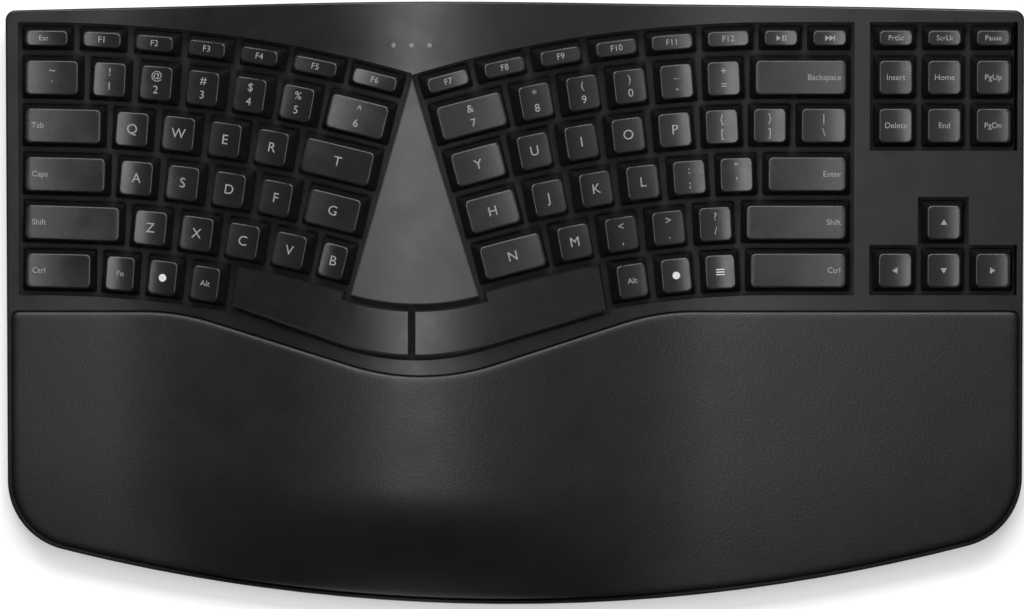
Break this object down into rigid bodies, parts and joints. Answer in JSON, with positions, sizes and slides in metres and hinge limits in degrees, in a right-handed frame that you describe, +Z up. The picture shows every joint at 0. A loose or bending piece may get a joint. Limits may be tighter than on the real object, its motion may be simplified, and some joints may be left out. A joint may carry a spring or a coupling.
{
  "type": "split wireless keyboard",
  "caption": "Curved split computer keyboard with a raised central ridge, triangular centre panel, two-part space bar, navigation keys and a padded palm rest.",
  "frame": {"origin": "middle of the footprint on the table", "axes": "+X to the user's right, +Y to the back, +Z up"},
  "size_m": [0.3994, 0.2372, 0.0468],
  "materials": {
    "case_plastic": "fine spark-eroded grain, nearly black",
    "key_plastic": "smooth satin with light printed legends",
    "panel_plastic": "satin dark grey",
    "palm_cushion": "fine-grained imitation leather over firm foam",
    "lens_plastic": "clear smoked",
    "deck_plastic": "moulded, plain",
    "silicone": "translucent grey silicone",
    "film": "clear polyester film with printed tracks",
    "steel_sheet": "zinc-plated sheet",
    "board": "green solder mask",
    "spring_steel": "nickel-plated wire and strip",
    "cell_jacket": "plain printed sleeve",
    "switch_plastic": "plain",
    "receiver_plastic": "plain, with a steel plug shell",
    "foot_rubber": "matt black",
    "screw_steel": "black zinc"
  },
  "bodies": {
    "case": {"top_case": "case_plastic", "bottom_case": "case_plastic", "palm_rest_pad": "palm_cushion", "centre_panel": "panel_plastic", "indicator_lenses": "lens_plastic", "key_deck": "deck_plastic", "dome_sheet": "silicone", "membrane": "film", "backing_plate": "steel_sheet", "circuit_board": "board", "battery_contacts": "spring_steel", "batteries": "cell_jacket", "rubber_pads": "foot_rubber", "case_screws": "screw_steel"},
    "key_esc": {"key_esc": "key_plastic"},
    "key_grave": {"key_grave": "key_plastic"},
    "key_tab": {"key_tab": "key_plastic"},
    "key_caps": {"key_caps": "key_plastic"},
    "key_shift_left": {"key_shift_left": "key_plastic"},
    "key_ctrl_left": {"key_ctrl_left": "key_plastic"},
    "key_fn": {"key_fn": "key_plastic"},
    "key_system_left": {"key_system_left": "key_plastic"},
    "key_alt_left": {"key_alt_left": "key_plastic"},
    "key_backspace": {"key_backspace": "key_plastic"},
    "key_backslash": {"key_backslash": "key_plastic"},
    "key_enter": {"key_enter": "key_plastic"},
    "key_shift_right": {"key_shift_right": "key_plastic"},
    "key_ctrl_right": {"key_ctrl_right": "key_plastic"},
    "key_menu": {"key_menu": "key_plastic"},
    "key_system_right": {"key_system_right": "key_plastic"},
    "key_alt_right": {"key_alt_right": "key_plastic"},
    "key_arrow_up": {"key_arrow_up": "key_plastic"},
    "key_arrow_left": {"key_arrow_left": "key_plastic"},
    "key_arrow_down": {"key_arrow_down": "key_plastic"},
    "key_arrow_right": {"key_arrow_right": "key_plastic"},
    "keys_f1_1_q_a_z": {"keys_f1_1_q_a_z": "key_plastic"},
    "keys_f2_2_w_s_x": {"keys_f2_2_w_s_x": "key_plastic"},
    "keys_f3_3_e_d_c": {"keys_f3_3_e_d_c": "key_plastic"},
    "keys_f4_4_r_f_v": {"keys_f4_4_r_f_v": "key_plastic"},
    "keys_f5_5_t_g_b": {"keys_f5_5_t_g_b": "key_plastic"},
    "keys_f6_6": {"keys_f6_6": "key_plastic"},
    "keys_f7_7_y_h_n": {"keys_f7_7_y_h_n": "key_plastic"},
    "keys_f8_8_u_j_m": {"keys_f8_8_u_j_m": "key_plastic"},
    "keys_f9_9_i_k_comma": {"keys_f9_9_i_k_comma": "key_plastic"},
    "keys_f10_0_o_l_period": {"keys_f10_0_o_l_period": "key_plastic"},
    "keys_f11_minus_p_semicolon_slash": {"keys_f11_minus_p_semicolon_slash": "key_plastic"},
    "keys_f12_equals_brackets_quote": {"keys_f12_equals_brackets_quote": "key_plastic"},
    "keys_media": {"keys_media": "key_plastic"},
    "keys_print_insert_delete": {"keys_print_insert_delete": "key_plastic"},
    "keys_scroll_home_end": {"keys_scroll_home_end": "key_plastic"},
    "keys_pause_page_up_page_down": {"keys_pause_page_up_page_down": "key_plastic"},
    "space_left": {"space_left": "key_plastic"},
    "space_right": {"space_right": "key_plastic"},
    "space_left_stabiliser": {"space_left_stabiliser": "spring_steel"},
    "space_right_stabiliser": {"space_right_stabiliser": "spring_steel"},
    "power_switch": {"power_switch": "switch_plastic"},
    "battery_door": {"battery_door": "case_plastic"},
    "usb_receiver": {"usb_receiver": "receiver_plastic"},
    "rear_foot_left": {"rear_foot_left": "case_plastic"},
    "rear_foot_right": {"rear_foot_right": "case_plastic"}
  },
  "joints": [
    {"name": "key_esc_press", "type": "slide", "parent": "case", "child": "key_esc", "axis": [0, 0.0549, -0.9985], "range_m": [0, 0.003], "stiffness_N_per_m": 200, "springref_m": -0.002, "deforming": ["dome_sheet"]},
    {"name": "key_grave_press", "type": "slide", "parent": "case", "child": "key_grave", "axis": [0, 0.0549, -0.9985], "range_m": [0, 0.003], "stiffness_N_per_m": 200, "springref_m": -0.002, "deforming": ["dome_sheet"]},
    {"name": "key_tab_press", "type": "slide", "parent": "case", "child": "key_tab", "axis": [0, 0.0549, -0.9985], "range_m": [0, 0.003], "stiffness_N_per_m": 200, "springref_m": -0.002, "deforming": ["dome_sheet"]},
    {"name": "key_caps_press", "type": "slide", "parent": "case", "child": "key_caps", "axis": [0, 0.0549, -0.9985], "range_m": [0, 0.003], "stiffness_N_per_m": 200, "springref_m": -0.002, "deforming": ["dome_sheet"]},
    {"name": "key_shift_left_press", "type": "slide", "parent": "case", "child": "key_shift_left", "axis": [0, 0.0549, -0.9985], "range_m": [0, 0.003], "stiffness_N_per_m": 200, "springref_m": -0.002, "deforming": ["dome_sheet"]},
    {"name": "key_ctrl_left_press", "type": "slide", "parent": "case", "child": "key_ctrl_left", "axis": [0, 0.0549, -0.9985], "range_m": [0, 0.003], "stiffness_N_per_m": 200, "springref_m": -0.002, "deforming": ["dome_sheet"]},
    {"name": "key_fn_press", "type": "slide", "parent": "case", "child": "key_fn", "axis": [0.0208, 0.0549, -0.9983], "range_m": [0, 0.003], "stiffness_N_per_m": 200, "springref_m": -0.002, "deforming": ["dome_sheet"]},
    {"name": "key_system_left_press", "type": "slide", "parent": "case", "child": "key_system_left", "axis": [0.1169, 0.0545, -0.9916], "range_m": [0, 0.003], "stiffness_N_per_m": 200, "springref_m": -0.002, "deforming": ["dome_sheet"]},
    {"name": "key_alt_left_press", "type": "slide", "parent": "case", "child": "key_alt_left", "axis": [0.187, 0.0539, -0.9809], "range_m": [0, 0.003], "stiffness_N_per_m": 200, "springref_m": -0.002, "deforming": ["dome_sheet"]},
    {"name": "key_backspace_press", "type": "slide", "parent": "case", "child": "key_backspace", "axis": [0, 0.0549, -0.9985], "range_m": [0, 0.003], "stiffness_N_per_m": 200, "springref_m": -0.002, "deforming": ["dome_sheet"]},
    {"name": "key_backslash_press", "type": "slide", "parent": "case", "child": "key_backslash", "axis": [0, 0.0549, -0.9985], "range_m": [0, 0.003], "stiffness_N_per_m": 200, "springref_m": -0.002, "deforming": ["dome_sheet"]},
    {"name": "key_enter_press", "type": "slide", "parent": "case", "child": "key_enter", "axis": [0, 0.0549, -0.9985], "range_m": [0, 0.003], "stiffness_N_per_m": 200, "springref_m": -0.002, "deforming": ["dome_sheet"]},
    {"name": "key_shift_right_press", "type": "slide", "parent": "case", "child": "key_shift_right", "axis": [0, 0.0549, -0.9985], "range_m": [0, 0.003], "stiffness_N_per_m": 200, "springref_m": -0.002, "deforming": ["dome_sheet"]},
    {"name": "key_ctrl_right_press", "type": "slide", "parent": "case", "child": "key_ctrl_right", "axis": [0, 0.0549, -0.9985], "range_m": [0, 0.003], "stiffness_N_per_m": 200, "springref_m": -0.002, "deforming": ["dome_sheet"]},
    {"name": "key_menu_press", "type": "slide", "parent": "case", "child": "key_menu", "axis": [0, 0.0549, -0.9985], "range_m": [0, 0.003], "stiffness_N_per_m": 200, "springref_m": -0.002, "deforming": ["dome_sheet"]},
    {"name": "key_system_right_press", "type": "slide", "parent": "case", "child": "key_system_right", "axis": [-0.0869, 0.0547, -0.9947], "range_m": [0, 0.003], "stiffness_N_per_m": 200, "springref_m": -0.002, "deforming": ["dome_sheet"]},
    {"name": "key_alt_right_press", "type": "slide", "parent": "case", "child": "key_alt_right", "axis": [-0.1693, 0.0541, -0.9841], "range_m": [0, 0.003], "stiffness_N_per_m": 200, "springref_m": -0.002, "deforming": ["dome_sheet"]},
    {"name": "key_arrow_up_press", "type": "slide", "parent": "case", "child": "key_arrow_up", "axis": [0, 0.0549, -0.9985], "range_m": [0, 0.003], "stiffness_N_per_m": 200, "springref_m": -0.002, "deforming": ["dome_sheet"]},
    {"name": "key_arrow_left_press", "type": "slide", "parent": "case", "child": "key_arrow_left", "axis": [0, 0.0549, -0.9985], "range_m": [0, 0.003], "stiffness_N_per_m": 200, "springref_m": -0.002, "deforming": ["dome_sheet"]},
    {"name": "key_arrow_down_press", "type": "slide", "parent": "case", "child": "key_arrow_down", "axis": [0, 0.0549, -0.9985], "range_m": [0, 0.003], "stiffness_N_per_m": 200, "springref_m": -0.002, "deforming": ["dome_sheet"]},
    {"name": "key_arrow_right_press", "type": "slide", "parent": "case", "child": "key_arrow_right", "axis": [0, 0.0549, -0.9985], "range_m": [0, 0.003], "stiffness_N_per_m": 200, "springref_m": -0.002, "deforming": ["dome_sheet"]},
    {"name": "keys_f1_1_q_a_z_press", "type": "slide", "parent": "case", "child": "keys_f1_1_q_a_z", "axis": [0.0364, 0.0549, -0.9978], "range_m": [0, 0.003], "stiffness_N_per_m": 1000, "springref_m": -0.002, "deforming": ["dome_sheet"]},
    {"name": "keys_f2_2_w_s_x_press", "type": "slide", "parent": "case", "child": "keys_f2_2_w_s_x", "axis": [0.1391, 0.0544, -0.9888], "range_m": [0, 0.003], "stiffness_N_per_m": 1000, "springref_m": -0.002, "deforming": ["dome_sheet"]},
    {"name": "keys_f3_3_e_d_c_press", "type": "slide", "parent": "case", "child": "keys_f3_3_e_d_c", "axis": [0.2043, 0.0538, -0.9774], "range_m": [0, 0.003], "stiffness_N_per_m": 1000, "springref_m": -0.002, "deforming": ["dome_sheet"]},
    {"name": "keys_f4_4_r_f_v_press", "type": "slide", "parent": "case", "child": "keys_f4_4_r_f_v", "axis": [0.2191, 0.0536, -0.9742], "range_m": [0, 0.003], "stiffness_N_per_m": 1000, "springref_m": -0.002, "deforming": ["dome_sheet"]},
    {"name": "keys_f5_5_t_g_b_press", "type": "slide", "parent": "case", "child": "keys_f5_5_t_g_b", "axis": [0.1744, 0.0541, -0.9832], "range_m": [0, 0.003], "stiffness_N_per_m": 1000, "springref_m": -0.002, "deforming": ["dome_sheet"]},
    {"name": "keys_f6_6_press", "type": "slide", "parent": "case", "child": "keys_f6_6", "axis": [0.1001, 0.0546, -0.9935], "range_m": [0, 0.003], "stiffness_N_per_m": 400, "springref_m": -0.002, "deforming": ["dome_sheet"]},
    {"name": "keys_f7_7_y_h_n_press", "type": "slide", "parent": "case", "child": "keys_f7_7_y_h_n", "axis": [-0.1444, 0.0543, -0.988], "range_m": [0, 0.003], "stiffness_N_per_m": 1000, "springref_m": -0.002, "deforming": ["dome_sheet"]},
    {"name": "keys_f8_8_u_j_m_press", "type": "slide", "parent": "case", "child": "keys_f8_8_u_j_m", "axis": [-0.2131, 0.0537, -0.9755], "range_m": [0, 0.003], "stiffness_N_per_m": 1000, "springref_m": -0.002, "deforming": ["dome_sheet"]},
    {"name": "keys_f9_9_i_k_comma_press", "type": "slide", "parent": "case", "child": "keys_f9_9_i_k_comma", "axis": [-0.2141, 0.0536, -0.9753], "range_m": [0, 0.003], "stiffness_N_per_m": 1000, "springref_m": -0.002, "deforming": ["dome_sheet"]},
    {"name": "keys_f10_0_o_l_period_press", "type": "slide", "parent": "case", "child": "keys_f10_0_o_l_period", "axis": [-0.162, 0.0542, -0.9853], "range_m": [0, 0.003], "stiffness_N_per_m": 1000, "springref_m": -0.002, "deforming": ["dome_sheet"]},
    {"name": "keys_f11_minus_p_semicolon_slash_press", "type": "slide", "parent": "case", "child": "keys_f11_minus_p_semicolon_slash", "axis": [-0.0662, 0.0548, -0.9963], "range_m": [0, 0.003], "stiffness_N_per_m": 1000, "springref_m": -0.002, "deforming": ["dome_sheet"]},
    {"name": "keys_f12_equals_brackets_quote_press", "type": "slide", "parent": "case", "child": "keys_f12_equals_brackets_quote", "axis": [0, 0.0549, -0.9985], "range_m": [0, 0.003], "stiffness_N_per_m": 1000, "springref_m": -0.002, "deforming": ["dome_sheet"]},
    {"name": "keys_media_press", "type": "slide", "parent": "case", "child": "keys_media", "axis": [0, 0.0549, -0.9985], "range_m": [0, 0.003], "stiffness_N_per_m": 400, "springref_m": -0.002, "deforming": ["dome_sheet"]},
    {"name": "keys_print_insert_delete_press", "type": "slide", "parent": "case", "child": "keys_print_insert_delete", "axis": [0, 0.0549, -0.9985], "range_m": [0, 0.003], "stiffness_N_per_m": 600, "springref_m": -0.002, "deforming": ["dome_sheet"]},
    {"name": "keys_scroll_home_end_press", "type": "slide", "parent": "case", "child": "keys_scroll_home_end", "axis": [0, 0.0549, -0.9985], "range_m": [0, 0.003], "stiffness_N_per_m": 600, "springref_m": -0.002, "deforming": ["dome_sheet"]},
    {"name": "keys_pause_page_up_page_down_press", "type": "slide", "parent": "case", "child": "keys_pause_page_up_page_down", "axis": [0, 0.0549, -0.9985], "range_m": [0, 0.003], "stiffness_N_per_m": 600, "springref_m": -0.002, "deforming": ["dome_sheet"]},
    {"name": "space_left_press", "type": "slide", "parent": "case", "child": "space_left", "axis": [0.1795, 0.054, -0.9823], "range_m": [0, 0.003], "stiffness_N_per_m": 400, "springref_m": -0.002, "deforming": ["dome_sheet"]},
    {"name": "space_right_press", "type": "slide", "parent": "case", "child": "space_right", "axis": [-0.1958, 0.0539, -0.9792], "range_m": [0, 0.003], "stiffness_N_per_m": 400, "springref_m": -0.002, "deforming": ["dome_sheet"]},
    {"name": "space_left_stabiliser_turn", "type": "hinge", "parent": "case", "child": "space_left_stabiliser", "pos_m": [-0.07334, 0.0008, 0.02846], "axis": [0.9423, -0.2962, 0.1559], "range_deg": [0, 25]},
    {"name": "space_right_stabiliser_turn", "type": "hinge", "parent": "case", "child": "space_right_stabiliser", "pos_m": [-0.00171, 0.0008, 0.02745], "axis": [0.9415, 0.2897, -0.1723], "range_deg": [0, 25]},
    {"name": "power_switch_slide", "type": "slide", "parent": "case", "child": "power_switch", "axis": [1, 0, 0], "range_m": [0, 0.003]},
    {"name": "battery_door_slide", "type": "slide", "parent": "case", "child": "battery_door", "axis": [0, -1, 0], "range_m": [0, 0.005]},
    {"name": "usb_receiver_pull", "type": "slide", "parent": "case", "child": "usb_receiver", "axis": [0, 1, 0], "range_m": [0, 0.019]},
    {"name": "rear_foot_left_fold", "type": "hinge", "parent": "case", "child": "rear_foot_left", "pos_m": [-0.152, 0.101, 0.0042], "axis": [1, 0, 0], "range_deg": [0, 78]},
    {"name": "rear_foot_right_fold", "type": "hinge", "parent": "case", "child": "rear_foot_right", "pos_m": [0.152, 0.101, 0.0042], "axis": [1, 0, 0], "range_deg": [0, 78]}
  ],
  "couplings": [
    {"joint": "space_left_stabiliser_turn", "follows": "space_left_press", "rad_per_m": 112.83},
    {"joint": "space_right_stabiliser_turn", "follows": "space_right_press", "rad_per_m": 112.83}
  ]
}
